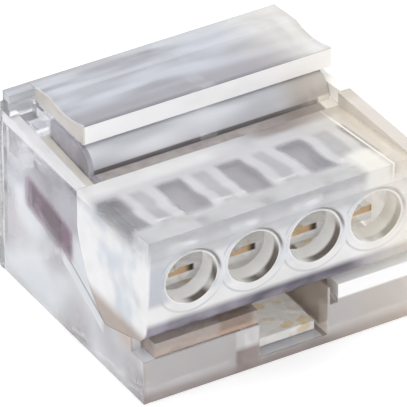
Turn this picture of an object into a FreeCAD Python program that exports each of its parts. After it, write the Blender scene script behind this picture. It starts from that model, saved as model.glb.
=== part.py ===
import FreeCAD, Part
import math
import os

from FreeCAD import Vector

# Four-pole push-in connector for solid wires, in millimetres.
# Origin: middle of the underside. +Z is up and the wires enter from the front, -Y.

# Driving dimensions
WIDTH = 10.0
DEPTH = 10.0
POLES = 4
POLE_PITCH = 2.24
ENTRY_Z = 4.3
ENTRY_RADIUS = 0.92
CONDUCTOR_DIAMETER = 0.8
SIDE_WALL = 0.35
PART_GAP = 0.03
SHEET = 0.13

LEFT = -WIDTH / 2
RIGHT = WIDTH / 2
FRONT = -DEPTH / 2
BACK = DEPTH / 2
POLE_X = [(pole - (POLES - 1) / 2) * POLE_PITCH for pole in range(POLES)]
BETWEEN_X = [(gap - (POLES - 2) / 2) * POLE_PITCH for gap in range(POLES - 1)]
BEYOND = 1.0  # how far a cutting tool reaches past a face
OVERLAP = 0.1  # how far a piece or a tool reaches into what it joins
PLAY = 0.05  # room left round the metal inserts

# Entry block: sloping deck, leaning front face, rounded lip and pointed side cheeks
DECK_FRONT_Z = 6.2
DECK_BACK_Z = 5.7
BLOCK_BACK = -0.58
FACE_BOTTOM = (-4.78, 3.0)
LIP_MIDDLE = (-4.68, 2.5)
LIP_END = (-4.4, 2.25)
CHEEK = 0.4
CHEEK_TIP = (-2.3, 1.65)
CHEEK_MIDDLE = (-1.08, 2.95)
CHEEK_CORNER = (BLOCK_BACK, 4.4)
FUNNEL_END = -3.95
ROOF_FRONT = -3.45
ROOF_Z = 5.47
DISH_RADIUS = 1.3
DISH_STEP_RADIUS = 1.0
DISH_DEPTH = 0.2
RIB_ROOT = 0.2

# Base housing
BASE_FRONT = -4.68
FRONT_WALL = 0.7
FLOOR = 0.3
GAP_Z = 1.55
WALL_BACK = 4.09
WALL_TOP_FRONT_Z = 5.7
WALL_TOP_BACK_Z = 6.03
RIGHT_RIB = 0.45
RIGHT_RIB_FRONT_Z = 6.26
RIGHT_RIB_BACK_Z = 6.18
RIGHT_RIB_END = (0.8, 6.03)
SLOT_LEFT = -0.8
SLOT_RIGHT = 1.7
SLOT_BACK = -2.1
SLOT_WALL = 0.3
SLIT_WIDTH = 0.3
SLIT_OFFSET = 0.08
SLIT_Z = (1.4, 2.35)
PANEL_Z = 2.08
RIB = 0.4

# Rear cover
RIDGE_LEFT = -4.08
RIDGE_FRONT = (0.6, 7.07)
RIDGE_RIM = (0.72, 7.07)
RIDGE_TROUGH = (1.7, 6.85)
RIDGE_SWELL = (2.75, 6.96)
RIDGE_BACK = (WALL_BACK, 6.82)
LIP_BOTTOM = (0.57, 6.4)
LIP_ROOT = (0.76, 6.33)
RISER_MIDDLE = (0.26, 6.1)
RISER_FOOT = (0.08, 5.6)
TRENCH_WIDTH = 0.08
TRENCH_DEPTH = 0.18
COVER_UNDERSIDE_Z = 5.05
COVER_FRONT = BLOCK_BACK + PLAY
REAR_WALL = 0.44
SKIRT = 0.42
SKIRT_BOTTOM_Z = 2.6
SKIRT_TOP_FRONT_Z = 5.45
SKIRT_TOP_BACK_Z = 5.72
STEP_Y = 2.6
STEP_Z = 6.0
POCKET_SPLIT_X = 0.5
POCKET_RIB = 0.55
POCKET_FRONT = 1.1
POCKET_TOP_Z = 6.5
POCKET_END = 0.4
BACK_TOP_Z = 5.9
BACK_SHELL = 0.45
BACK_CORNER = 0.25
HOLLOW_MARGIN = 0.6
PANEL_MARGIN = 1.4
PANEL_DEPTH = 0.12

# Contact bar
BAR_TOP = ENTRY_Z - CONDUCTOR_DIAMETER / 2 - PLAY
BAR_HALF_WIDTH = 3.95
BAR_THICKNESS = 0.5
BAR_FRONT = -3.6
BAR_BACK = 1.6
LEG_FRONT = -1.6
LEG_THICKNESS = 0.4
GROOVE_RADIUS = 0.45
GROOVE_DEPTH = 0.1
FOOT_HEIGHT = 0.5
FOOT_FRONT = -4.6
FOOT_LEFT = -4.55
FOOT_Z = GAP_Z + PART_GAP
TAB_LEFT = -0.6
TAB_RIGHT = 1.5
TAB_FRONT = -4.2
TAB_THICKNESS = 0.3

# Spring comb and clamping tongues
BEND_Y = -2.9
BEND_RADIUS = 0.25
COMB_TOP = ROOF_Z - PLAY
COMB_LOW_TOP = 4.95
COMB_STEP = (-1.0, -0.5)
COMB_KNEE_Y = 1.3
COMB_BACK = (3.1, 4.1)
COMB_END_Z = 3.2
COMB_HALF_WIDTH = 4.12
FINGER_FRONT = -3.75
FINGER_HALF_WIDTH = 0.52
FINGER_OUTER_X = 4.5
FINGER_PLAY = 0.08
WINDOW_HALF_WIDTH = 0.74
WINDOW_Y = (-0.85, 1.15)
END_CHEEK = [(3.1, 4.2), (1.2, 4.3), (0.2, 3.2), (1.2, 2.45), (3.0, 3.3)]
TONGUE_WIDTH = 1.3
TONGUE_TIP = (-0.1, BAR_TOP + SHEET / 2)
HINGE = (BEND_Y, COMB_TOP - BEND_RADIUS)
BEND_SPLIT_ANGLE = 184  # where a tongue starts, round its bend from the +Y direction


def box(x0, x1, y0, y1, z0, z1):
    return Part.makeBox(x1 - x0, y1 - y0, z1 - z0, Vector(x0, y0, z0))


def fuse(shapes):
    return shapes[0].multiFuse(shapes[1:]).removeSplitter()


def cut(shape, tools):
    return shape.cut(tools).removeSplitter()


def side_wire(start, steps, closed=True):
    """A wire in the Y-Z plane. A step is an end point, or a pair: a point on an arc and its end."""
    at = Vector(0, *start)
    edges = []
    for step in steps:
        if isinstance(step[0], tuple):
            middle = Vector(0, *step[0])
            end = Vector(0, *step[1])
            edges.append(Part.Arc(at, middle, end).toShape())
        else:
            end = Vector(0, *step)
            edges.append(Part.makeLine(at, end))
        at = end
    if closed:
        edges.append(Part.makeLine(at, Vector(0, *start)))
    return Part.Wire(edges)


def across(face, x0, x1):
    """A face in the Y-Z plane, made solid from x0 to x1."""
    moved = face.copy()
    moved.translate(Vector(x0, 0, 0))
    return moved.extrude(Vector(x1 - x0, 0, 0))


def side_solid(start, steps, x0, x1):
    return across(Part.Face(side_wire(start, steps)), x0, x1)


def sheet_metal(start, steps, x0, x1, thickness=SHEET):
    """Bent sheet: an open path in the Y-Z plane, thickened to the left of its direction."""
    path = side_wire(start, steps, closed=False)
    return across(path.makeOffset2D(-thickness, 0, True, True), x0, x1)


def cylinder_y(x, z, radius, y0, y1):
    return Part.makeCylinder(radius, y1 - y0, Vector(x, y0, z), Vector(0, 1, 0))


def cone_y(x, z, radius0, radius1, y0, y1):
    return Part.makeCone(radius0, radius1, y1 - y0, Vector(x, y0, z), Vector(0, 1, 0))


def is_upright(edge):
    return edge.BoundBox.ZLength > 1


def is_crosswise(edge):
    return edge.BoundBox.XLength > 1


def block_outline():
    """Side view of the entry block."""
    steps = [
        FACE_BOTTOM,
        (LIP_MIDDLE, LIP_END),
        CHEEK_TIP,
        (CHEEK_MIDDLE, CHEEK_CORNER),
        (BLOCK_BACK, DECK_BACK_Z),
    ]
    return side_wire((FRONT, DECK_FRONT_Z), steps)


def funnel(x):
    """One wire entry: a dished mouth and the round bore behind it, open to the clamping chamber."""
    mouth = FRONT - OVERLAP
    return [
        cone_y(x, ENTRY_Z, DISH_RADIUS, DISH_STEP_RADIUS, mouth, FRONT + DISH_DEPTH),
        cylinder_y(x, ENTRY_Z, ENTRY_RADIUS, mouth, FUNNEL_END + BEYOND),
    ]


def finger_spans():
    """X spans of the comb's locating fingers: one between each pair of poles, one at each end."""
    end_inner = POLE_X[-1] + POLE_PITCH / 2 - FINGER_HALF_WIDTH
    middle = [(x - FINGER_HALF_WIDTH, x + FINGER_HALF_WIDTH) for x in BETWEEN_X]
    return [(-FINGER_OUTER_X, -end_inner)] + middle + [(end_inner, FINGER_OUTER_X)]


def entry_block():
    """Clear front shell: solid round the funnels, hollow behind and below them."""
    inner = RIGHT - CHEEK
    pocket_floor = COMB_TOP - SHEET - PLAY
    pocket_front = FINGER_FRONT - FINGER_PLAY
    tools = [
        box(-inner, inner, FUNNEL_END, BACK, 0, pocket_floor),
        box(-inner, inner, ROOF_FRONT, BACK, 0, ROOF_Z),
    ]
    for x0, x1 in finger_spans():
        pocket = (x0 - FINGER_PLAY, x1 + FINGER_PLAY, pocket_front, ROOF_FRONT + BEYOND)
        tools.append(box(*pocket, pocket_floor, ROOF_Z))
    for x in POLE_X:
        tools += funnel(x)
    rib = side_solid(
        (FRONT, DECK_FRONT_Z - RIB_ROOT),
        [(FRONT, RIGHT_RIB_FRONT_Z), (BLOCK_BACK, RIGHT_RIB_BACK_Z), (BLOCK_BACK, DECK_BACK_Z - RIB_ROOT)],
        RIGHT - RIGHT_RIB,
        RIGHT,
    )
    return cut(fuse([across(Part.Face(block_outline()), LEFT, RIGHT), rib]), tools)


def base_housing():
    """Clear tray: floor, side walls, low front wall with the test slot, and supports for the bar."""
    inner = RIGHT - SIDE_WALL
    wall_back = BASE_FRONT + FRONT_WALL
    above = WALL_TOP_BACK_Z + BEYOND
    walls = side_solid(
        (BASE_FRONT, 0),
        [(WALL_BACK, 0), (WALL_BACK, WALL_TOP_BACK_Z), (BLOCK_BACK, WALL_TOP_FRONT_Z), (BASE_FRONT, PANEL_Z)],
        LEFT,
        RIGHT,
    )
    block_face = Part.Face(block_outline().makeOffset2D(PART_GAP, 2))
    block_space = across(block_face, LEFT - BEYOND, RIGHT + BEYOND)
    front_tool = (BASE_FRONT - BEYOND, wall_back + OVERLAP)
    slit_left = SLOT_RIGHT + SLIT_OFFSET
    tools = [
        block_space,
        box(-inner, inner, wall_back, BACK, FLOOR, above),
        box(LEFT - BEYOND, SLOT_LEFT, *front_tool, GAP_Z, above),
        box(SLOT_LEFT, SLOT_RIGHT, *front_tool, FLOOR, above),
        box(LEFT - BEYOND, RIGHT + BEYOND, *front_tool, PANEL_Z, above),
        box(slit_left, slit_left + SLIT_WIDTH, *front_tool, *SLIT_Z),
    ]
    tray = cut(walls, tools)
    tunnel_left = box(SLOT_LEFT - SLOT_WALL, SLOT_LEFT, wall_back, SLOT_BACK, FLOOR, GAP_Z)
    tunnel_right = box(SLOT_RIGHT, SLOT_RIGHT + SLOT_WALL, wall_back, SLOT_BACK, FLOOR, PANEL_Z)
    rib_front = BLOCK_BACK + PART_GAP
    rib_root_z = WALL_TOP_FRONT_Z - RIB_ROOT
    right_rib = side_solid(
        (rib_front, rib_root_z),
        [(rib_front, RIGHT_RIB_BACK_Z), RIGHT_RIB_END, (RIGHT_RIB_END[0], rib_root_z)],
        inner,
        RIGHT,
    )
    right_top = side_solid(
        (RIGHT_RIB_END[0], rib_root_z),
        [RIGHT_RIB_END, (WALL_BACK, WALL_TOP_BACK_Z), (WALL_BACK, rib_root_z)],
        inner,
        RIGHT,
    )
    pieces = [tray, tunnel_left, tunnel_right, right_rib, right_top]
    support_top = BAR_TOP - BAR_THICKNESS - PART_GAP
    support_front = LEG_FRONT + LEG_THICKNESS + PLAY
    for x in BETWEEN_X:
        pieces.append(box(x - RIB / 2, x + RIB / 2, support_front, BAR_BACK, FLOOR, support_top))
    return fuse(pieces)


def ridge():
    """Cover's ridge, dished on top, with its overhanging lip. It runs over the right side wall."""
    return side_solid(
        LIP_ROOT,
        [
            LIP_BOTTOM,
            RIDGE_FRONT,
            RIDGE_RIM,
            (RIDGE_TROUGH, RIDGE_SWELL),
            RIDGE_BACK,
            (WALL_BACK, LIP_ROOT[1]),
        ],
        RIDGE_LEFT,
        RIGHT,
    )


def riser(inner):
    """Ledge behind the deck, a narrow trench, and the rounded step up to the ridge's lip."""
    trench_front = RISER_FOOT[0] - TRENCH_WIDTH
    trench_floor = RISER_FOOT[1] - TRENCH_DEPTH
    return side_solid(
        (COVER_FRONT, COVER_UNDERSIDE_Z),
        [
            (COVER_FRONT, RISER_FOOT[1]),
            (trench_front, RISER_FOOT[1]),
            (trench_front, trench_floor),
            (RISER_FOOT[0], trench_floor),
            RISER_FOOT,
            (RISER_MIDDLE, LIP_ROOT),
            (WALL_BACK, LIP_ROOT[1]),
            (WALL_BACK, COVER_UNDERSIDE_Z),
        ],
        RIDGE_LEFT - OVERLAP,
        inner,
    )


def skirt(x0, x1):
    """Side skirt that slides inside a side wall of the base."""
    return side_solid(
        (COVER_FRONT, SKIRT_BOTTOM_Z),
        [
            (COVER_FRONT, SKIRT_TOP_FRONT_Z),
            (STEP_Y, SKIRT_TOP_BACK_Z),
            (STEP_Y, STEP_Z),
            (WALL_BACK, STEP_Z),
            (WALL_BACK, SKIRT_BOTTOM_Z),
        ],
        x0,
        x1,
    )


def back_shell():
    """Back plate of the cover: full width, hollow towards the wires, with a shallow panel outside."""
    plate = box(LEFT, RIGHT, WALL_BACK + PART_GAP, BACK, 0, BACK_TOP_Z)
    rear_edges = [edge for edge in plate.Edges if edge.BoundBox.YMin > BACK - OVERLAP]
    upright = [edge for edge in rear_edges if is_upright(edge)]
    top = [edge for edge in rear_edges if is_crosswise(edge) and edge.BoundBox.ZMin > BACK_TOP_Z - OVERLAP]
    plate = plate.makeFillet(BACK_CORNER, upright + top)
    hollow_side = RIGHT - HOLLOW_MARGIN
    panel_side = RIGHT - PANEL_MARGIN
    hollow = (-hollow_side, hollow_side, WALL_BACK - BEYOND, BACK - BACK_SHELL)
    panel = (-panel_side, panel_side, BACK - PANEL_DEPTH, BACK + BEYOND)
    tools = [
        box(*hollow, HOLLOW_MARGIN, BACK_TOP_Z - HOLLOW_MARGIN),
        box(*panel, PANEL_MARGIN, BACK_TOP_Z - PANEL_MARGIN / 2),
    ]
    return cut(plate, tools)


def rear_cover():
    """Clear cover: ridge, riser, skirts, rear wall and back plate in one piece."""
    inner = RIGHT - SIDE_WALL - PART_GAP
    wall_inner = WALL_BACK - REAR_WALL
    clear_of_base = WALL_TOP_BACK_Z + PART_GAP
    pockets = []
    for x0, x1 in (
        (RIDGE_LEFT + POCKET_END, POCKET_SPLIT_X - POCKET_RIB / 2),
        (POCKET_SPLIT_X + POCKET_RIB / 2, inner - POCKET_END),
    ):
        pockets.append(box(x0, x1, POCKET_FRONT, wall_inner, COVER_UNDERSIDE_Z - BEYOND, POCKET_TOP_Z))
    top = cut(fuse([ridge(), riser(inner)]), pockets)
    pieces = [
        top,
        box(-inner, inner, wall_inner, WALL_BACK, FLOOR + PART_GAP, clear_of_base),
        box(LEFT, RIGHT, wall_inner, WALL_BACK, clear_of_base, RIDGE_BACK[1]),
        skirt(-inner, -inner + SKIRT),
        skirt(inner - SKIRT, inner),
        box(-inner, RIDGE_LEFT, STEP_Y, wall_inner, COVER_UNDERSIDE_Z, STEP_Z),
        box(-inner, inner, WALL_BACK, WALL_BACK + PART_GAP, FLOOR + PART_GAP, BACK_TOP_Z),
        back_shell(),
    ]
    hollow_side = RIGHT - HOLLOW_MARGIN
    window = (-hollow_side, hollow_side, wall_inner - BEYOND, BACK - BACK_SHELL)
    return cut(fuse(pieces), [box(*window, HOLLOW_MARGIN, COVER_UNDERSIDE_Z - HOLLOW_MARGIN)])


def contact_bar():
    """Tin-plated copper bar: grooved web, leg, two feet and the test tab on the slot's floor."""
    web_bottom = BAR_TOP - BAR_THICKNESS
    leg_back = LEG_FRONT + LEG_THICKNESS
    foot_top = FOOT_Z + FOOT_HEIGHT
    tab_bottom = FLOOR + PART_GAP
    right_foot_left = SLOT_RIGHT + SLOT_WALL + PLAY
    right_foot_front = BASE_FRONT + FRONT_WALL + PLAY
    pieces = [
        box(-BAR_HALF_WIDTH, BAR_HALF_WIDTH, BAR_FRONT, BAR_BACK, web_bottom, BAR_TOP),
        box(-BAR_HALF_WIDTH, BAR_HALF_WIDTH, LEG_FRONT, leg_back, FOOT_Z, web_bottom),
        box(FOOT_LEFT, SLOT_LEFT - PART_GAP, FOOT_FRONT, leg_back, FOOT_Z, foot_top),
        box(right_foot_left, -FOOT_LEFT, right_foot_front, leg_back, FOOT_Z, foot_top),
        box(TAB_LEFT, TAB_RIGHT, LEG_FRONT, leg_back, tab_bottom, FOOT_Z),
        box(TAB_LEFT, TAB_RIGHT, TAB_FRONT, leg_back, tab_bottom, tab_bottom + TAB_THICKNESS),
    ]
    groove_z = BAR_TOP + GROOVE_RADIUS - GROOVE_DEPTH
    grooves = [cylinder_y(x, groove_z, GROOVE_RADIUS, BAR_FRONT - BEYOND, BAR_BACK + BEYOND) for x in POLE_X]
    return cut(fuse(pieces), grooves)


def on_bend(radius, angle):
    """The point at an angle round the tongue's bend, from the +Y direction towards +Z."""
    turn = math.radians(angle)
    return (HINGE[0] + radius * math.cos(turn), HINGE[1] + radius * math.sin(turn))


def spring_comb():
    """Fixed part of the stainless spring: plate, fingers, the fixed halves of the bends, end cheeks."""
    high = COMB_TOP - SHEET
    low = COMB_LOW_TOP - SHEET
    path = [
        (COMB_STEP[0], high),
        (COMB_STEP[1], low),
        (COMB_KNEE_Y, low),
        COMB_BACK,
        (COMB_BACK[0], COMB_END_Z),
    ]
    pieces = [sheet_metal((BEND_Y, high), path, -COMB_HALF_WIDTH, COMB_HALF_WIDTH)]
    for x0, x1 in finger_spans():
        pieces.append(box(x0, x1, FINGER_FRONT, COMB_STEP[0], high, COMB_TOP))
    inner_radius = BEND_RADIUS - SHEET
    for x in POLE_X:
        half_bend = side_solid(
            on_bend(BEND_RADIUS, 90),
            [
                (on_bend(BEND_RADIUS, 135), on_bend(BEND_RADIUS, 180)),
                on_bend(inner_radius, 180),
                (on_bend(inner_radius, 135), on_bend(inner_radius, 90)),
            ],
            x - TONGUE_WIDTH / 2,
            x + TONGUE_WIDTH / 2,
        )
        pieces.append(half_bend)
    for x in (-COMB_HALF_WIDTH, COMB_HALF_WIDTH - SHEET):
        pieces.append(side_solid(END_CHEEK[0], END_CHEEK[1:], x, x + SHEET))
    windows = []
    for x in POLE_X:
        opening = (x - WINDOW_HALF_WIDTH, x + WINDOW_HALF_WIDTH, *WINDOW_Y)
        windows.append(box(*opening, low - OVERLAP, high))
    return cut(fuse(pieces), windows)


def clamp_tongue(x):
    """One clamping tongue: the moving half of its bend, and the leaf down to the contact bar."""
    reach_y = TONGUE_TIP[0] - HINGE[0]
    reach_z = TONGUE_TIP[1] - HINGE[1]
    reach = math.hypot(reach_y, reach_z)
    slope = math.degrees(math.atan2(reach_z, reach_y) + math.asin(BEND_RADIUS / reach))
    leaf_angle = 270 + slope
    start = on_bend(BEND_RADIUS, BEND_SPLIT_ANGLE)
    middle = on_bend(BEND_RADIUS, (BEND_SPLIT_ANGLE + leaf_angle) / 2)
    path = [(middle, on_bend(BEND_RADIUS, leaf_angle)), TONGUE_TIP]
    return sheet_metal(start, path, x - TONGUE_WIDTH / 2, x + TONGUE_WIDTH / 2)


def main():
    os.makedirs("parts", exist_ok=True)
    shapes = {
        "base_housing": base_housing(),
        "entry_block": entry_block(),
        "rear_cover": rear_cover(),
        "contact_bar": contact_bar(),
        "spring_comb": spring_comb(),
    }
    for number, x in enumerate(POLE_X, start=1):
        shapes[f"clamp_tongue_{number}"] = clamp_tongue(x)
    for name, shape in shapes.items():
        print(name, shape.isValid(), len(shape.Solids), round(shape.Volume, 3), shape.BoundBox)
        shape.exportStep(f"parts/{name}.step")


main()
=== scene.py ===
import math

import bpy
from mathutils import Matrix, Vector


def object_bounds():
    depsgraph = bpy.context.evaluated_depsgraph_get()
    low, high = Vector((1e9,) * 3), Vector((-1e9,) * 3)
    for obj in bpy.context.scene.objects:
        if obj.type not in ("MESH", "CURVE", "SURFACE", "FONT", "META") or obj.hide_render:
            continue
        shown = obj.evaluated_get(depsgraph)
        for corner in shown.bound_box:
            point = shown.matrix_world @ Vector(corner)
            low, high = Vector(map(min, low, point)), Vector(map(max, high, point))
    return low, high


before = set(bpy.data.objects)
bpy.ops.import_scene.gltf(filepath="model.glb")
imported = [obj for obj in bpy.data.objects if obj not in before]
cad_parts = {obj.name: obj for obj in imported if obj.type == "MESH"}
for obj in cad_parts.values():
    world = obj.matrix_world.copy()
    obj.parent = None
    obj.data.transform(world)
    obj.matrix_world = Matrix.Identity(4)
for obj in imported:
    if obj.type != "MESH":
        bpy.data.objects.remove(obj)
cad_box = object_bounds()

MM = 0.001

# Sizes and places are in millimetres, measured from the middle of the underside. Only lengths that go
# straight to Blender are multiplied by MM.
POLES = 4
POLE_PITCH = 2.24
ENTRY_Z = 4.3
ENTRY_RADIUS = 0.92
LEFT = cad_box[0][0] / MM
RIGHT = cad_box[1][0] / MM
TOP = cad_box[1][2] / MM

BEVEL = 0.05

# Main zones of the plastics along one axis: where the zone starts and where it is complete
DECK_Z = (5.45, 5.55)
WINDOWS_BACK_Y = (-2.0, -1.6)
WINDOWS_FRONT_Y = (-3.8, -4.2)
DECK_END_X = (3.9, 4.05)
FACE_Y = (-4.55, -4.7)
FACE_Z = (6.1, 5.2)
ENTRIES_X = (4.5, 4.4)
CHEEK_X = (LEFT + 0.15, LEFT + 0.05)
CHEEK_Z = (6.1, 5.0)
BASE_FRONT_Y = (-4.6, -4.66)
BASE_INSIDE_Y = (-4.66, -4.6)
LEFT_WALL_X = (LEFT + 0.5, LEFT + 0.4)
LEFT_SIDE_X = (LEFT + 0.1, LEFT + 0.03)
WALL_TOP_Z = (5.6, 5.68)
RIDGE_TOP_Z = (6.5, 6.6)
RIDGE_END_Z = (6.36, 6.42)
RISER_FOOT_Z = (5.72, 5.68)
LEDGE_Y = (0.1, 0.0)
LEDGE_Z = (5.56, 5.6)

# Bands seen through the plastics: where they begin and where they end
RAIL_Y = (-2.2, 0.4)
FRONT_RECTANGLE_X = (-1.65, -0.8)
SLOT_WALL_X = (1.65, 2.05)
SKIRT_TOP_Z = (5.4, 5.75)

# The ribs look shifted to the left and wavy through the sloping deck
RIB_SHIFT = 0.3
RIB_WOBBLE = 0.36

WHITE = (1.0, 1.0, 1.0)

# Camera: a long lens from the front left, close enough that both sides of the object leave the picture
AZIMUTH = math.radians(-30.7)
ELEVATION = math.radians(33.5)
VIEW_WIDTH = 12.88 * MM
VIEW_TARGET = Vector((-0.045, 0.03, 3.17)) * MM
LENS = 700.0
SENSOR = 36.0

FLOOR_SIZE = 400 * MM
FLOOR_GAP = 0.02 * MM


class Nodes:
    """Short calls that add nodes to one material, with positions in millimetres."""

    def __init__(self, tree):
        self.tree = tree
        coordinates = tree.nodes.new("ShaderNodeTexCoord")
        scale = tree.nodes.new("ShaderNodeVectorMath")
        scale.operation = "SCALE"
        scale.inputs["Scale"].default_value = 1 / MM
        tree.links.new(coordinates.outputs["Object"], scale.inputs[0])
        self.position = scale.outputs["Vector"]
        split = tree.nodes.new("ShaderNodeSeparateXYZ")
        tree.links.new(self.position, split.inputs[0])
        self.x, self.y, self.z = split.outputs

    def feed(self, socket, value):
        """Set an input from another node's output, or from a plain value."""
        if isinstance(value, bpy.types.NodeSocket):
            self.tree.links.new(value, socket)
        else:
            socket.default_value = value

    def math(self, operation, *values):
        """One math node, with its operation named the way Blender does."""
        node = self.tree.nodes.new("ShaderNodeMath")
        node.operation = operation
        for socket, value in zip(node.inputs, values):
            self.feed(socket, value)
        return node.outputs[0]

    def step(self, value, low, high):
        """0 below low and 1 above high, with a soft change between them. Falls if low is above high."""
        node = self.tree.nodes.new("ShaderNodeMapRange")
        node.interpolation_type = "SMOOTHSTEP"
        self.feed(node.inputs["Value"], value)
        node.inputs["From Min"].default_value = min(low, high)
        node.inputs["From Max"].default_value = max(low, high)
        if low > high:
            node.inputs["To Min"].default_value = 1.0
            node.inputs["To Max"].default_value = 0.0
        return node.outputs["Result"]

    def band(self, value, low, high, soft):
        """1 between low and high, 0 outside, with soft edges."""
        rise = self.step(value, low - soft, low + soft)
        fall = self.step(value, high + soft, high - soft)
        return self.both(rise, fall)

    def both(self, *masks):
        """1 only where all the masks are 1."""
        result = masks[0]
        for mask in masks[1:]:
            result = self.math("MULTIPLY", result, mask)
        return result

    def inverse(self, mask):
        return self.math("SUBTRACT", 1.0, mask)

    def weaken(self, mask, share):
        return self.math("MULTIPLY", mask, share)

    def above_slope(self, rise):
        """Height over a line that rises towards the back, by rise for every millimetre."""
        return self.math("SUBTRACT", self.z, self.math("MULTIPLY", self.y, rise))

    def length(self, across, up):
        squares = self.math("ADD", self.math("MULTIPLY", across, across), self.math("MULTIPLY", up, up))
        return self.math("SQRT", squares)

    def noise(self, scale, detail=2.0, stretch=(1, 1, 1)):
        """Cloudy pattern from 0 to 1, with scale in waves per millimetre."""
        mapping = self.tree.nodes.new("ShaderNodeMapping")
        mapping.inputs["Scale"].default_value = stretch
        self.tree.links.new(self.position, mapping.inputs["Vector"])
        node = self.tree.nodes.new("ShaderNodeTexNoise")
        node.inputs["Scale"].default_value = scale
        node.inputs["Detail"].default_value = detail
        self.tree.links.new(mapping.outputs["Vector"], node.inputs["Vector"])
        return node.outputs["Fac"]

    def blend(self, mask, under, over):
        """Colour under, going over to colour over where the mask is 1."""
        node = self.tree.nodes.new("ShaderNodeMix")
        node.data_type = "RGBA"
        self.feed(node.inputs[0], mask)
        colors = [socket for socket in node.inputs if socket.type == "RGBA"]
        for socket, color in zip(colors, (under, over)):
            self.feed(socket, color if isinstance(color, bpy.types.NodeSocket) else (*color, 1))
        return [output for output in node.outputs if output.type == "RGBA"][0]

    def mix(self, mask, under, over):
        """Number under, going over to number over where the mask is 1."""
        node = self.tree.nodes.new("ShaderNodeMix")
        self.feed(node.inputs[0], mask)
        self.feed(node.inputs[2], under)
        self.feed(node.inputs[3], over)
        return node.outputs[0]

    def bump(self, height, depth):
        """Surface relief, depth in millimetres."""
        node = self.tree.nodes.new("ShaderNodeBump")
        node.inputs["Distance"].default_value = depth * MM
        self.feed(node.inputs["Height"], height)
        return node.outputs["Normal"]


def new_material(name):
    material = bpy.data.materials.new(name)
    material.use_nodes = True
    shader = material.node_tree.nodes["Principled BSDF"]
    return material, Nodes(material.node_tree), shader


class Plastic:
    """Clear plastic that is tinted and made milky zone by zone."""

    def __init__(self, name):
        self.material, self.nodes, self.shader = new_material(name)

    def start(self, pattern, dark, light, most_haze):
        """Tint it from dark to light and make it slightly milky, following a cloudy pattern."""
        self.haze = self.nodes.mix(pattern, 0.0, most_haze)
        self.color = self.nodes.blend(pattern, dark, light)

    def tint(self, zone, color):
        self.color = self.nodes.blend(zone, self.color, color)

    def fog(self, zone, haze):
        """Make a zone milky. Haze goes from 0, which is clear, to 1."""
        self.haze = self.nodes.mix(zone, self.haze, haze)

    def warm(self, start, share, color):
        """Give it a warm cast that grows from start to the right side."""
        nodes = self.nodes
        self.tint(nodes.weaken(nodes.step(nodes.x, start, RIGHT), share), color)

    def finish(self):
        """Hand the colour and the haze to the shader, and make the surface slightly wavy."""
        nodes = self.nodes
        shader = self.shader
        nodes.feed(shader.inputs["Base Color"], self.color)
        nodes.feed(shader.inputs["Transmission Weight"], nodes.inverse(self.haze))
        shader.inputs["IOR"].default_value = 1.5
        nodes.feed(shader.inputs["Roughness"], nodes.mix(nodes.noise(1.5), 0.05, 0.2))
        nodes.feed(shader.inputs["Normal"], nodes.bump(nodes.noise(0.8, 1.0), 0.1))
        self.let_light_through()
        return self.material

    def let_light_through(self):
        """Light from the room reaches what is behind the plastic, a little less where it is milky."""
        tree = self.material.node_tree
        path = tree.nodes.new("ShaderNodeLightPath")
        opening = tree.nodes.new("ShaderNodeBsdfTransparent")
        mix = tree.nodes.new("ShaderNodeMixShader")
        clearness = self.nodes.mix(self.haze, 1.0, 0.85)
        share = self.nodes.math("MULTIPLY", path.outputs["Is Shadow Ray"], clearness)
        tree.links.new(share, mix.inputs["Fac"])
        tree.links.new(self.shader.outputs[0], mix.inputs[1])
        tree.links.new(opening.outputs[0], mix.inputs[2])
        tree.links.new(mix.outputs[0], tree.nodes["Material Output"].inputs["Surface"])


def across_entry(nodes):
    """How far a point lies to the right of its own entry's axis. The middle lies between two entries."""
    half = POLE_PITCH / 2
    return nodes.math("WRAP", nodes.math("SUBTRACT", nodes.x, half), half, -half)


def over_poles(nodes):
    """Two masks that are 0 between the poles and 1 over them: the whole rib, and its narrower core."""
    wobble = nodes.math("MULTIPLY_ADD", nodes.noise(0.8, 1.0), RIB_WOBBLE, -RIB_WOBBLE / 2)
    shifted = nodes.math("ADD", nodes.math("ADD", nodes.x, RIB_SHIFT), wobble)
    from_gap = nodes.math("PINGPONG", shifted, POLE_PITCH / 2)
    rib = nodes.step(from_gap, 0.35, 0.6)
    core = nodes.step(from_gap, 0.75, 1.0)
    return rib, core


def paint_deck(plastic, cloud):
    """Milky ribs over the poles and milky borders, with clearer windows between them."""
    nodes = plastic.nodes
    deck = nodes.step(nodes.z, *DECK_Z)
    rib, core = over_poles(nodes)
    milky = nodes.mix(core, nodes.weaken(rib, 0.75), 0.4)
    milky = nodes.mix(nodes.step(nodes.y, *WINDOWS_BACK_Y), milky, 0.75)
    milky = nodes.mix(nodes.step(nodes.y, *WINDOWS_FRONT_Y), milky, 0.5)
    plastic.fog(nodes.both(deck, milky), 0.85)
    plastic.tint(deck, nodes.blend(cloud, (0.66, 0.66, 0.69), (0.90, 0.91, 0.93)))
    first_window = nodes.both(deck, nodes.step(nodes.x, -4.0, -4.3), nodes.band(nodes.y, -2.8, -1.6, 0.2))
    plastic.tint(first_window, (0.54, 0.53, 0.56))


def paint_deck_end(plastic, cloud):
    """Tan strip at the right of the deck, mauve along the rib, behind a cream line that is a painted
    highlight.
    """
    nodes = plastic.nodes
    deck = nodes.step(nodes.z, *DECK_Z)
    strip = nodes.both(deck, nodes.step(nodes.x, *DECK_END_X))
    plastic.fog(strip, 0.75)
    plastic.tint(strip, nodes.blend(cloud, (0.60, 0.50, 0.42), (0.74, 0.66, 0.60)))
    beside_rib = nodes.both(deck, nodes.step(nodes.x, 4.5, 4.6))
    plastic.tint(beside_rib, (0.66, 0.60, 0.66))
    # Painted highlight: a thin cream line along the edge at the deck's end.
    line = nodes.both(deck, nodes.band(nodes.x, 3.84, 3.92, 0.03))
    plastic.fog(line, 0.9)
    plastic.tint(line, (0.98, 0.94, 0.86))


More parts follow.
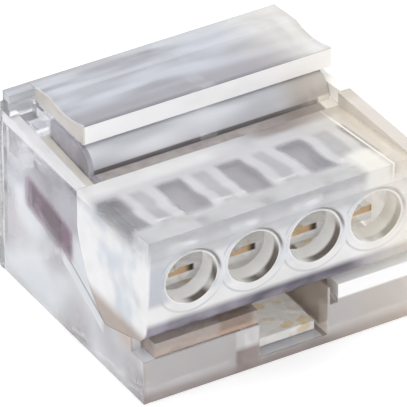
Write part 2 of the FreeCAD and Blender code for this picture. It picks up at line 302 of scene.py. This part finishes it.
def front_face(nodes):
    return nodes.both(nodes.step(nodes.y, *FACE_Y), nodes.step(nodes.z, *FACE_Z))


def paint_face(plastic, cloud):
    """Milky front face, grey over the entries, and white under them: painted light on the upper side of the
    rounded lip.
    """
    nodes = plastic.nodes
    face = front_face(nodes)
    plastic.fog(face, nodes.mix(cloud, 0.6, 0.85))
    plastic.tint(face, nodes.blend(cloud, (0.78, 0.80, 0.84), (0.95, 0.96, 0.98)))
    left_edge = nodes.both(face, nodes.step(nodes.x, LEFT + 1.0, LEFT + 0.5))
    plastic.tint(left_edge, (0.62, 0.65, 0.71))
    # Painted light: the band under the entries is painted white.
    lit_under_entries = nodes.both(face, nodes.step(nodes.z, ENTRY_Z - 0.5, ENTRY_Z - 0.8))
    plastic.tint(lit_under_entries, WHITE)
    over_entries = nodes.both(face, nodes.band(nodes.z, ENTRY_Z + 0.8, ENTRY_Z + 1.3, 0.15))
    plastic.tint(over_entries, nodes.blend(cloud, (0.56, 0.57, 0.60), (0.78, 0.79, 0.81)))


def paint_cheek(plastic, cloud):
    """Left cheek: milky, pale blue in places, and brown at its foot, which is painted shade along the seam
    above the base.
    """
    nodes = plastic.nodes
    cheek = nodes.both(nodes.step(nodes.x, *CHEEK_X), nodes.step(nodes.z, *CHEEK_Z))
    plastic.fog(cheek, nodes.mix(cloud, 0.6, 0.9))
    plastic.tint(cheek, nodes.blend(nodes.step(cloud, 0.35, 0.6), (0.80, 0.86, 0.93), WHITE))
    # Painted shade: the cheek's foot is painted brown where the seam to the base lies in shadow.
    foot = nodes.both(cheek, nodes.step(nodes.z, 2.8, 2.25))
    plastic.tint(foot, (0.52, 0.43, 0.38))


def paint_entries(plastic, cloud):
    """White bores with a dark crescent of painted shade at their lower right, and rims and dishes drawn with
    thin lines of painted shade.
    """
    nodes = plastic.nodes
    face = front_face(nodes)
    inside = nodes.step(nodes.math("ABSOLUTE", nodes.x), *ENTRIES_X)
    across = across_entry(nodes)
    up = nodes.math("SUBTRACT", nodes.z, ENTRY_Z)
    radius = nodes.length(across, up)
    lower_right = nodes.math("SUBTRACT", across, up)
    upper_right = nodes.math("ADD", across, up)
    bore = nodes.both(inside, nodes.step(radius, ENTRY_RADIUS + 0.03, ENTRY_RADIUS + 0.01))
    plastic.tint(bore, (1.0, 1.0, 0.98))
    plastic.fog(bore, 0.9)
    # Painted shade: a dark crescent inside each bore, at its lower right.
    shaded = nodes.both(nodes.step(lower_right, 0.4, 1.1), nodes.step(cloud, 0.3, 0.5))
    crescent = nodes.both(bore, nodes.step(nodes.y, -4.45, -4.6), shaded)
    plastic.tint(crescent, (0.16, 0.13, 0.11))
    plastic.fog(crescent, 0.8)
    # Painted shadow: a dark line along the upper right of each entry's rim.
    rim_shadow = nodes.both(face, inside, nodes.band(radius, ENTRY_RADIUS + 0.06, ENTRY_RADIUS + 0.14, 0.03))
    plastic.tint(nodes.both(rim_shadow, nodes.step(upper_right, 0.9, 1.3)), (0.26, 0.24, 0.23))
    # Painted shade: a darker line along the lower left of each dish's edge.
    dish = nodes.both(face, inside, nodes.band(radius, ENTRY_RADIUS + 0.28, ENTRY_RADIUS + 0.34, 0.04))
    plastic.tint(nodes.both(dish, nodes.step(upper_right, 0.6, -0.2), cloud), (0.40, 0.42, 0.48))


def paint_lip(plastic, cloud):
    """Painted shade: dark lilac on the lower part of the lip under the entries."""
    nodes = plastic.nodes
    below = nodes.both(nodes.step(nodes.z, 3.1, 2.8), nodes.step(nodes.y, -3.9, -4.1))
    lip = nodes.both(below, nodes.step(nodes.x, LEFT + 0.01, LEFT + 0.1))
    # Painted shade: the lower, rounded part of the lip is darkened to dark lilac.
    plastic.tint(lip, nodes.blend(nodes.step(cloud, 0.3, 0.7), (0.10, 0.09, 0.13), (0.36, 0.34, 0.41)))


def paint_deck_borders(plastic):
    """White at the deck's back left, brown at its back right, grey-cream at its front right corner."""
    nodes = plastic.nodes
    deck = nodes.step(nodes.z, *DECK_Z)
    back_left = nodes.both(deck, nodes.step(nodes.x, 0.5, -1.0), nodes.step(nodes.y, -1.6, -1.1))
    plastic.tint(back_left, WHITE)
    back_right = nodes.both(deck, nodes.step(nodes.x, 0.5, 2.0), nodes.step(nodes.y, -1.3, -0.9))
    plastic.tint(back_right, (0.40, 0.35, 0.33))
    front_right = nodes.both(deck, nodes.band(nodes.x, 2.9, 3.8, 0.2), nodes.step(nodes.y, -3.3, -3.8))
    plastic.tint(front_right, (0.84, 0.84, 0.80))
    plastic.fog(front_right, 0.9)


def shell_plastic():
    """Entry block: a milky face and cheek, and a deck with ribs and windows."""
    plastic = Plastic("clear_shell")
    cloud = plastic.nodes.noise(0.9, 1.5)
    plastic.start(cloud, (0.90, 0.91, 0.95), WHITE, 0.06)
    paint_deck(plastic, cloud)
    paint_deck_end(plastic, cloud)
    paint_face(plastic, cloud)
    paint_cheek(plastic, cloud)
    paint_entries(plastic, cloud)
    paint_lip(plastic, cloud)
    paint_deck_borders(plastic)
    plastic.warm(2.0, 0.65, (0.97, 0.91, 0.78))
    return plastic.finish()


def paint_low_walls(plastic, cloud):
    """Frosted front wall, and a left side that is beige-grey low down."""
    nodes = plastic.nodes
    front = nodes.step(nodes.y, *BASE_FRONT_Y)
    plastic.fog(front, 0.7)
    plastic.tint(front, nodes.blend(cloud, (0.52, 0.49, 0.49), (0.68, 0.66, 0.65)))
    side = nodes.step(nodes.x, *LEFT_SIDE_X)
    low = nodes.both(side, nodes.step(nodes.z, 3.0, 0.6), nodes.step(nodes.y, 3.0, -2.5))
    plastic.fog(low, 0.7)
    plastic.tint(low, (0.56, 0.50, 0.48))


def paint_left_wall(plastic):
    """Milky patches, a rail that rises towards the back, and a dark mauve patch of painted shade where the
    spring's cheek lies behind the wall.
    """
    nodes = plastic.nodes
    wall = nodes.step(nodes.x, *LEFT_WALL_X)
    behind_front = nodes.both(wall, nodes.inverse(nodes.step(nodes.y, *BASE_FRONT_Y)))
    foot = nodes.both(behind_front, nodes.step(nodes.z, 3.2, 2.8))
    plastic.fog(foot, 0.3)
    plastic.tint(foot, (0.84, 0.82, 0.84))
    over_cheek_line = nodes.above_slope(0.2)
    cheek = nodes.both(nodes.band(nodes.y, -0.2, 2.7, 0.2), nodes.band(over_cheek_line, 2.8, 3.95, 0.2))
    mauve = nodes.both(wall, cheek)
    rail_part = nodes.both(wall, nodes.band(nodes.y, *RAIL_Y, 0.2))
    over_rail_line = nodes.above_slope(0.5)
    rail = nodes.both(rail_part, nodes.band(over_rail_line, 2.3, 2.75, 0.06))
    rail_edge = nodes.both(rail_part, nodes.band(over_rail_line, 2.78, 2.86, 0.04))
    patches = nodes.both(behind_front, nodes.step(nodes.noise(0.35, 1.0), 0.4, 0.6), nodes.inverse(mauve))
    patches = nodes.math("MAXIMUM", nodes.both(patches, nodes.step(nodes.z, 5.6, 5.2)), rail)
    plastic.fog(patches, 0.6)
    plastic.tint(patches, nodes.blend(nodes.step(nodes.z, 3.6, 4.2), (0.94, 0.97, 1.0), (0.62, 0.62, 0.68)))
    plastic.fog(rail_edge, 0.5)
    plastic.tint(rail_edge, (0.42, 0.38, 0.38))
    # Painted shade: the wall is tinted dark mauve over the spring's cheek.
    plastic.tint(mauve, (0.54, 0.40, 0.49))


def paint_front_wall(plastic):
    """Dark foot, and a rectangle left of the test slot that is dark low down and pale above: painted shade
    and painted light of the slot's wall seen through the front wall.
    """
    nodes = plastic.nodes
    front = nodes.step(nodes.y, *BASE_FRONT_Y)
    foot = nodes.both(front, nodes.step(nodes.z, 0.6, 0.05))
    plastic.tint(foot, (0.36, 0.31, 0.29))
    # Painted shade low down and painted light above, where the slot's inner wall shows through.
    rectangle = nodes.both(front, nodes.band(nodes.x, *FRONT_RECTANGLE_X, 0.08))
    plastic.tint(nodes.both(rectangle, nodes.step(nodes.z, 0.9, 0.75)), (0.34, 0.28, 0.26))
    plastic.tint(nodes.both(rectangle, nodes.step(nodes.z, 0.85, 1.0)), (0.76, 0.74, 0.73))


def paint_copper_glint(plastic):
    """Painted glint: a copper-coloured glint on the left side, near the front."""
    nodes = plastic.nodes
    side = nodes.step(nodes.x, *LEFT_SIDE_X)
    corner = nodes.both(side, nodes.band(nodes.y, -4.4, -3.0, 0.5), nodes.band(nodes.z, 1.6, 2.4, 0.3))
    # Painted glint: a copper cast on the side wall near the front corner.
    plastic.tint(nodes.weaken(corner, 0.6), (0.70, 0.45, 0.32))


def paint_slot_wall(plastic):
    """Tan wall at the right of the test slot: a painted reflection of the copper inside."""
    nodes = plastic.nodes
    behind_front = nodes.step(nodes.y, *BASE_INSIDE_Y)
    wall = nodes.both(nodes.band(nodes.x, *SLOT_WALL_X, 0.03), behind_front, nodes.step(nodes.z, 2.9, 2.7))
    plastic.fog(wall, 0.6)
    # Painted reflection: the slot's wall is tinted tan.
    plastic.tint(wall, (0.55, 0.46, 0.39))


def paint_highlit_tops(plastic):
    """Cream on the top of the right wall and of the low panel right of the test slot: painted light, a
    highlight along the wall's top and a bright band on the panel under the overhang.
    """
    nodes = plastic.nodes
    on_right_wall = nodes.both(nodes.step(nodes.x, 4.0, 4.2), nodes.step(nodes.y, -1.0, -0.4))
    # Painted highlight: the top of the right wall is painted cream.
    wall_top = nodes.both(nodes.step(nodes.z, *WALL_TOP_Z), on_right_wall)
    plastic.tint(wall_top, (1.0, 0.99, 0.93))
    plastic.fog(wall_top, 1.0)
    on_panel = nodes.both(nodes.step(nodes.y, -3.9, -4.0), nodes.step(nodes.x, 2.0, 2.1))
    # Painted light: the panel's top, shaded by the overhang, is painted near white.
    panel_top = nodes.both(on_panel, nodes.band(nodes.z, 1.55, 2.15, 0.05))
    plastic.tint(panel_top, (1.0, 1.0, 0.99))
    plastic.fog(panel_top, 1.0)


def base_plastic():
    """Base housing: clear sides, frosted low down, beige-grey on the left and creamy on the right."""
    plastic = Plastic("clear_base")
    nodes = plastic.nodes
    cloud = nodes.noise(0.5, 1.0)
    plastic.start(cloud, (0.88, 0.87, 0.90), (0.98, 0.98, 1.0), 0.04)
    paint_low_walls(plastic, cloud)
    paint_left_wall(plastic)
    paint_front_wall(plastic)
    paint_copper_glint(plastic)
    plastic.fog(nodes.step(nodes.z, *WALL_TOP_Z), 0.7)
    paint_slot_wall(plastic)
    plastic.warm(1.0, 0.35, (0.80, 0.68, 0.54))
    # The painted light goes on after the warm cast, so that it stays bright.
    paint_highlit_tops(plastic)
    return plastic.finish()


def paint_ridge_top(plastic, streaks):
    """Painted reflection on top of the ridge: grey streaks, lighter at its back and right, with two darker
    panels of painted shade in front.
    """
    nodes = plastic.nodes
    top = nodes.step(nodes.z, *RIDGE_TOP_Z)
    # Painted reflection: grey streaks of reflected sky, lighter at the back rim, in a band and at the right
    # end.
    sky_reflection = nodes.blend(nodes.step(streaks, 0.35, 0.65), (0.36, 0.36, 0.40), (0.58, 0.61, 0.67))
    back_rim = nodes.step(nodes.y, 3.6, 3.9)
    sky_reflection = nodes.blend(nodes.weaken(back_rim, 0.35), sky_reflection, (0.86, 0.87, 0.89))
    light_band = nodes.both(nodes.band(nodes.y, 2.3, 3.0, 0.25), nodes.step(nodes.x, 3.0, 2.0))
    sky_reflection = nodes.blend(nodes.weaken(light_band, 0.5), sky_reflection, (0.66, 0.69, 0.74))
    right_end = nodes.step(nodes.x, 2.0, 4.2)
    sky_reflection = nodes.blend(nodes.weaken(right_end, 0.45), sky_reflection, (0.92, 0.92, 0.92))
    plastic.tint(top, sky_reflection)
    plastic.fog(top, 0.75)
    # Painted shade: two darker panels at the front of the top, split by a lighter strip.
    between = nodes.weaken(nodes.band(nodes.x, 0.25, 0.75, 0.1), 0.5)
    panels = nodes.both(nodes.step(nodes.y, 2.1, 1.3), nodes.inverse(between), nodes.step(nodes.x, 4.6, 3.0))
    plastic.tint(nodes.both(top, panels), (0.34, 0.33, 0.37))


def paint_ridge_front(plastic):
    """Painted highlight: a white lip along the front of the ridge."""
    nodes = plastic.nodes
    height = nodes.both(nodes.step(nodes.z, 6.38, 6.42), nodes.step(nodes.z, TOP - 0.02, TOP - 0.05))
    lip = nodes.both(nodes.step(nodes.y, 0.72, 0.69), height)
    # Painted highlight: the lip is painted white.
    plastic.tint(lip, WHITE)
    plastic.fog(lip, 1.0)


def paint_riser(plastic, streaks):
    """Milky grey riser under the ridge, brown at its right end."""
    nodes = plastic.nodes
    depth = nodes.both(nodes.step(nodes.y, 0.74, 0.7), nodes.step(nodes.y, 0.04, 0.1))
    riser = nodes.both(depth, nodes.step(nodes.z, 6.4, 6.36))
    gray = nodes.blend(nodes.step(streaks, 0.3, 0.7), (0.54, 0.55, 0.59), (0.86, 0.87, 0.91))
    plastic.tint(riser, nodes.blend(nodes.step(nodes.x, 2.6, 3.8), gray, (0.38, 0.34, 0.32)))
    plastic.fog(riser, 0.85)


def paint_ledge(plastic):
    """Mottled brown ledge behind the deck, with a dark line of painted shade in the crease at the foot of
    the riser.
    """
    nodes = plastic.nodes
    ledge = nodes.both(nodes.step(nodes.y, *LEDGE_Y), nodes.step(nodes.z, *LEDGE_Z))
    brown = nodes.blend(nodes.noise(2.5, 3.0), (0.26, 0.22, 0.21), (0.58, 0.54, 0.53))
    plastic.tint(ledge, nodes.blend(nodes.step(nodes.x, 2.0, 3.5), brown, (0.18, 0.14, 0.12)))
    plastic.fog(ledge, 0.8)
    # Painted shade: a dark line in the crease at the riser's foot.
    dark_line = nodes.both(nodes.band(nodes.y, -0.02, 0.1, 0.04), nodes.step(nodes.z, *RISER_FOOT_Z))
    plastic.tint(dark_line, (0.10, 0.08, 0.07))


def paint_skirts(plastic):
    """Tops of the skirts: tan on the left, cream on the right."""
    nodes = plastic.nodes
    height = nodes.band(nodes.z, *SKIRT_TOP_Z, 0.05)
    left = nodes.both(nodes.step(nodes.x, -4.1, -4.2), height, nodes.step(nodes.y, 2.6, 2.55))
    plastic.tint(left, (0.80, 0.75, 0.68))
    plastic.fog(left, 0.8)
    right = nodes.both(nodes.step(nodes.x, 4.15, 4.25), height)
    plastic.tint(right, (0.98, 0.95, 0.86))
    plastic.fog(right, 0.9)


def paint_left_end(plastic):
    """Left end of the ridge, pale brown, and the end of the riser under it, painted dark grey as shade."""
    nodes = plastic.nodes
    below = nodes.both(nodes.band(nodes.z, 5.5, 6.36, 0.04), nodes.step(nodes.y, 2.6, 2.4))
    # Painted shade: the riser's end under the ridge is darkened.
    shaded_riser_end = nodes.both(nodes.band(nodes.x, -4.22, -4.0, 0.02), below)
    plastic.tint(shaded_riser_end, nodes.blend(nodes.noise(1.5, 1.0), (0.24, 0.23, 0.26), (0.52, 0.51, 0.55)))
    plastic.fog(shaded_riser_end, 0.7)
    above = nodes.both(nodes.step(nodes.z, *RIDGE_END_Z), nodes.step(nodes.y, 3.66, 3.62))
    end = nodes.both(nodes.step(nodes.x, -4.0, -4.06), above)
    plastic.tint(end, (0.72, 0.68, 0.63))
    plastic.fog(end, 0.8)


def cover_plastic():
    """Rear cover: grey streaks, a white lip on the ridge and a brown ledge behind the deck."""
    plastic = Plastic("clear_cover")
    streaks = plastic.nodes.noise(1.0, 1.0, stretch=(0.25, 1.6, 1.0))
    plastic.start(streaks, (0.86, 0.86, 0.90), (0.98, 0.99, 1.0), 0.04)
    paint_ridge_top(plastic, streaks)
    paint_ridge_front(plastic)
    paint_riser(plastic, streaks)
    paint_ledge(plastic)
    paint_skirts(plastic)
    paint_left_end(plastic)
    plastic.warm(2.0, 0.4, (0.95, 0.90, 0.80))
    return plastic.finish()


def finish_metal(nodes, shader, color, metallic, roughness, relief):
    nodes.feed(shader.inputs["Base Color"], color)
    shader.inputs["Metallic"].default_value = metallic
    nodes.feed(shader.inputs["Roughness"], roughness)
    nodes.feed(shader.inputs["Normal"], relief)


def tinned_copper():
    """Contact bar: bright tin, and bare copper on the sheared front edge, going over at its right to painted
    shade from the groove; on the feet, painted seam shade, with a painted copper glint near their right end.
    """
    material, nodes, shader = new_material("tinned_copper")
    x, y, z = nodes.x, nodes.y, nodes.z
    thin = nodes.step(nodes.noise(1.4, 2.0), 0.58, 0.68)
    color = nodes.blend(thin, (1.0, 0.99, 0.96), (0.90, 0.76, 0.54))
    across = across_entry(nodes)
    front_edge = nodes.both(nodes.step(y, -3.56, -3.59), nodes.step(z, 3.6, 3.66))
    bare = nodes.both(front_edge, nodes.band(across, -0.15, 0.8, 0.05))
    # Part real, part painted shade: bare copper on the front edge, going to near black at its right where
    # the groove throws its shadow.
    edge_copper_and_shade = nodes.blend(nodes.step(across, 0.45, 0.7), (0.74, 0.50, 0.28), (0.06, 0.04, 0.03))
    color = nodes.blend(bare, color, edge_copper_and_shade)
    foot = nodes.both(nodes.step(y, -3.2, -3.8), nodes.step(z, 1.2, 1.4), nodes.step(z, 2.4, 2.2))
    # Painted shade: the feet are painted dark brown where they lie in the shadowed seam.
    seam_shade = nodes.blend(nodes.step(z, 1.6, 1.9), (0.52, 0.42, 0.36), (0.42, 0.36, 0.33))
    color = nodes.blend(foot, color, seam_shade)
    # Painted shade and glint: darker brown near the right end of the feet, with a painted copper glint low
    # down.
    shade_and_glint = nodes.both(foot, nodes.band(x, -2.2, -1.0, 0.15))
    copper = nodes.blend(nodes.step(z, 1.8, 1.65), (0.30, 0.23, 0.19), (0.56, 0.38, 0.28))
    color = nodes.blend(shade_and_glint, color, copper)
    roughness = nodes.mix(nodes.noise(2.0), 0.25, 0.45)
    finish_metal(nodes, shader, color, 0.1, roughness, nodes.bump(nodes.noise(2.2, 2.0), 0.15))
    return material


def rolled_steel(name, dark, light):
    """Rolled steel strip with fine streaks along its length, and painted shade, near-black mauve, on the
    comb's end cheeks.
    """
    material, nodes, shader = new_material(name)
    streaks = nodes.noise(1.0, 3.0, stretch=(9, 1, 1))
    color = nodes.blend(streaks, dark, light)
    side = nodes.step(nodes.math("ABSOLUTE", nodes.x), 4.05, 4.09)
    end_cheek = nodes.both(side, nodes.step(nodes.z, 4.7, 4.5))
    # Painted shade: the comb's end cheeks are darkened to near-black mauve.
    color = nodes.blend(end_cheek, color, (0.06, 0.0, 0.025))
    roughness = nodes.mix(streaks, 0.25, 0.45)
    finish_metal(nodes, shader, color, 0.6, roughness, nodes.bump(streaks, 0.01))
    return material


def set_material(node, material):
    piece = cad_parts[node]
    piece.data.materials.clear()
    piece.data.materials.append(material)


def round_edges(node, width):
    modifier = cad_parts[node].modifiers.new("rounded edges", "BEVEL")
    modifier.width = width
    modifier.segments = 2
    modifier.limit_method = "ANGLE"
    modifier.angle_limit = math.radians(35)


def add_camera():
    data = bpy.data.cameras.new("camera")
    data.lens = LENS
    data.sensor_width = SENSOR
    level = math.cos(ELEVATION)
    back = Vector((math.sin(AZIMUTH) * level, -math.cos(AZIMUTH) * level, math.sin(ELEVATION)))
    distance = VIEW_WIDTH * LENS / SENSOR
    camera = bpy.data.objects.new("camera", data)
    camera.location = VIEW_TARGET + back * distance
    camera.rotation_mode = "QUATERNION"
    camera.rotation_quaternion = (-back).to_track_quat("-Z", "Y")
    data.clip_start = distance / 10
    data.clip_end = distance * 10
    bpy.context.scene.collection.objects.link(camera)
    bpy.context.scene.camera = camera


def add_floor():
    """Near-white floor that glows a little to the camera only."""
    bpy.ops.mesh.primitive_plane_add(size=FLOOR_SIZE, location=(0, 0, -FLOOR_GAP))
    floor = bpy.context.object
    floor.name = "floor"
    material, nodes, shader = new_material("floor")
    cloud = nodes.noise(0.02)
    nodes.feed(shader.inputs["Base Color"], nodes.blend(cloud, (0.86, 0.86, 0.87), (0.90, 0.90, 0.91)))
    shader.inputs["Roughness"].default_value = 0.9
    path = material.node_tree.nodes.new("ShaderNodeLightPath")
    shader.inputs["Emission Color"].default_value = (*WHITE, 1)
    nodes.feed(shader.inputs["Emission Strength"], nodes.weaken(path.outputs["Is Camera Ray"], 0.3))
    floor.data.materials.append(material)


def add_world():
    """Bright studio, white above and very slightly blue at the horizon and below."""
    world = bpy.data.worlds.new("studio")
    world.use_nodes = True
    tree = world.node_tree
    coordinates = tree.nodes.new("ShaderNodeTexCoord")
    split = tree.nodes.new("ShaderNodeSeparateXYZ")
    ramp = tree.nodes.new("ShaderNodeValToRGB")
    tree.links.new(coordinates.outputs["Generated"], split.inputs[0])
    tree.links.new(split.outputs["Z"], ramp.inputs["Fac"])
    horizon, above = ramp.color_ramp.elements
    horizon.position = 0.0
    horizon.color = (0.97, 0.96, 0.99, 1)
    above.position = 0.55
    above.color = (*WHITE, 1)
    background = tree.nodes["Background"]
    tree.links.new(ramp.outputs["Color"], background.inputs["Color"])
    background.inputs["Strength"].default_value = 1.1
    bpy.context.scene.world = world


def set_light_paths():
    """Enough bounces for light to find its way through several layers of clear plastic."""
    cycles = bpy.context.scene.cycles
    cycles.max_bounces = 32
    cycles.transmission_bounces = 32
    cycles.transparent_max_bounces = 32
    cycles.glossy_bounces = 16
    cycles.diffuse_bounces = 6


add_camera()
mouldings = {
    "entry_block": shell_plastic,
    "base_housing": base_plastic,
    "rear_cover": cover_plastic,
}
for node, plastic in mouldings.items():
    set_material(node, plastic())
    round_edges(node, BEVEL * MM)
set_material("contact_bar", tinned_copper())
set_material("spring_comb", rolled_steel("spring_steel", (0.28, 0.26, 0.28), (0.48, 0.45, 0.48)))
tongue_steel = rolled_steel("tongue_steel", (0.86, 0.83, 0.77), (1.0, 0.98, 0.94))
for number in range(1, POLES + 1):
    set_material(f"clamp_tongue_{number}", tongue_steel)
add_floor()
add_world()
set_light_paths()
bpy.context.scene.view_settings.view_transform = "Standard"
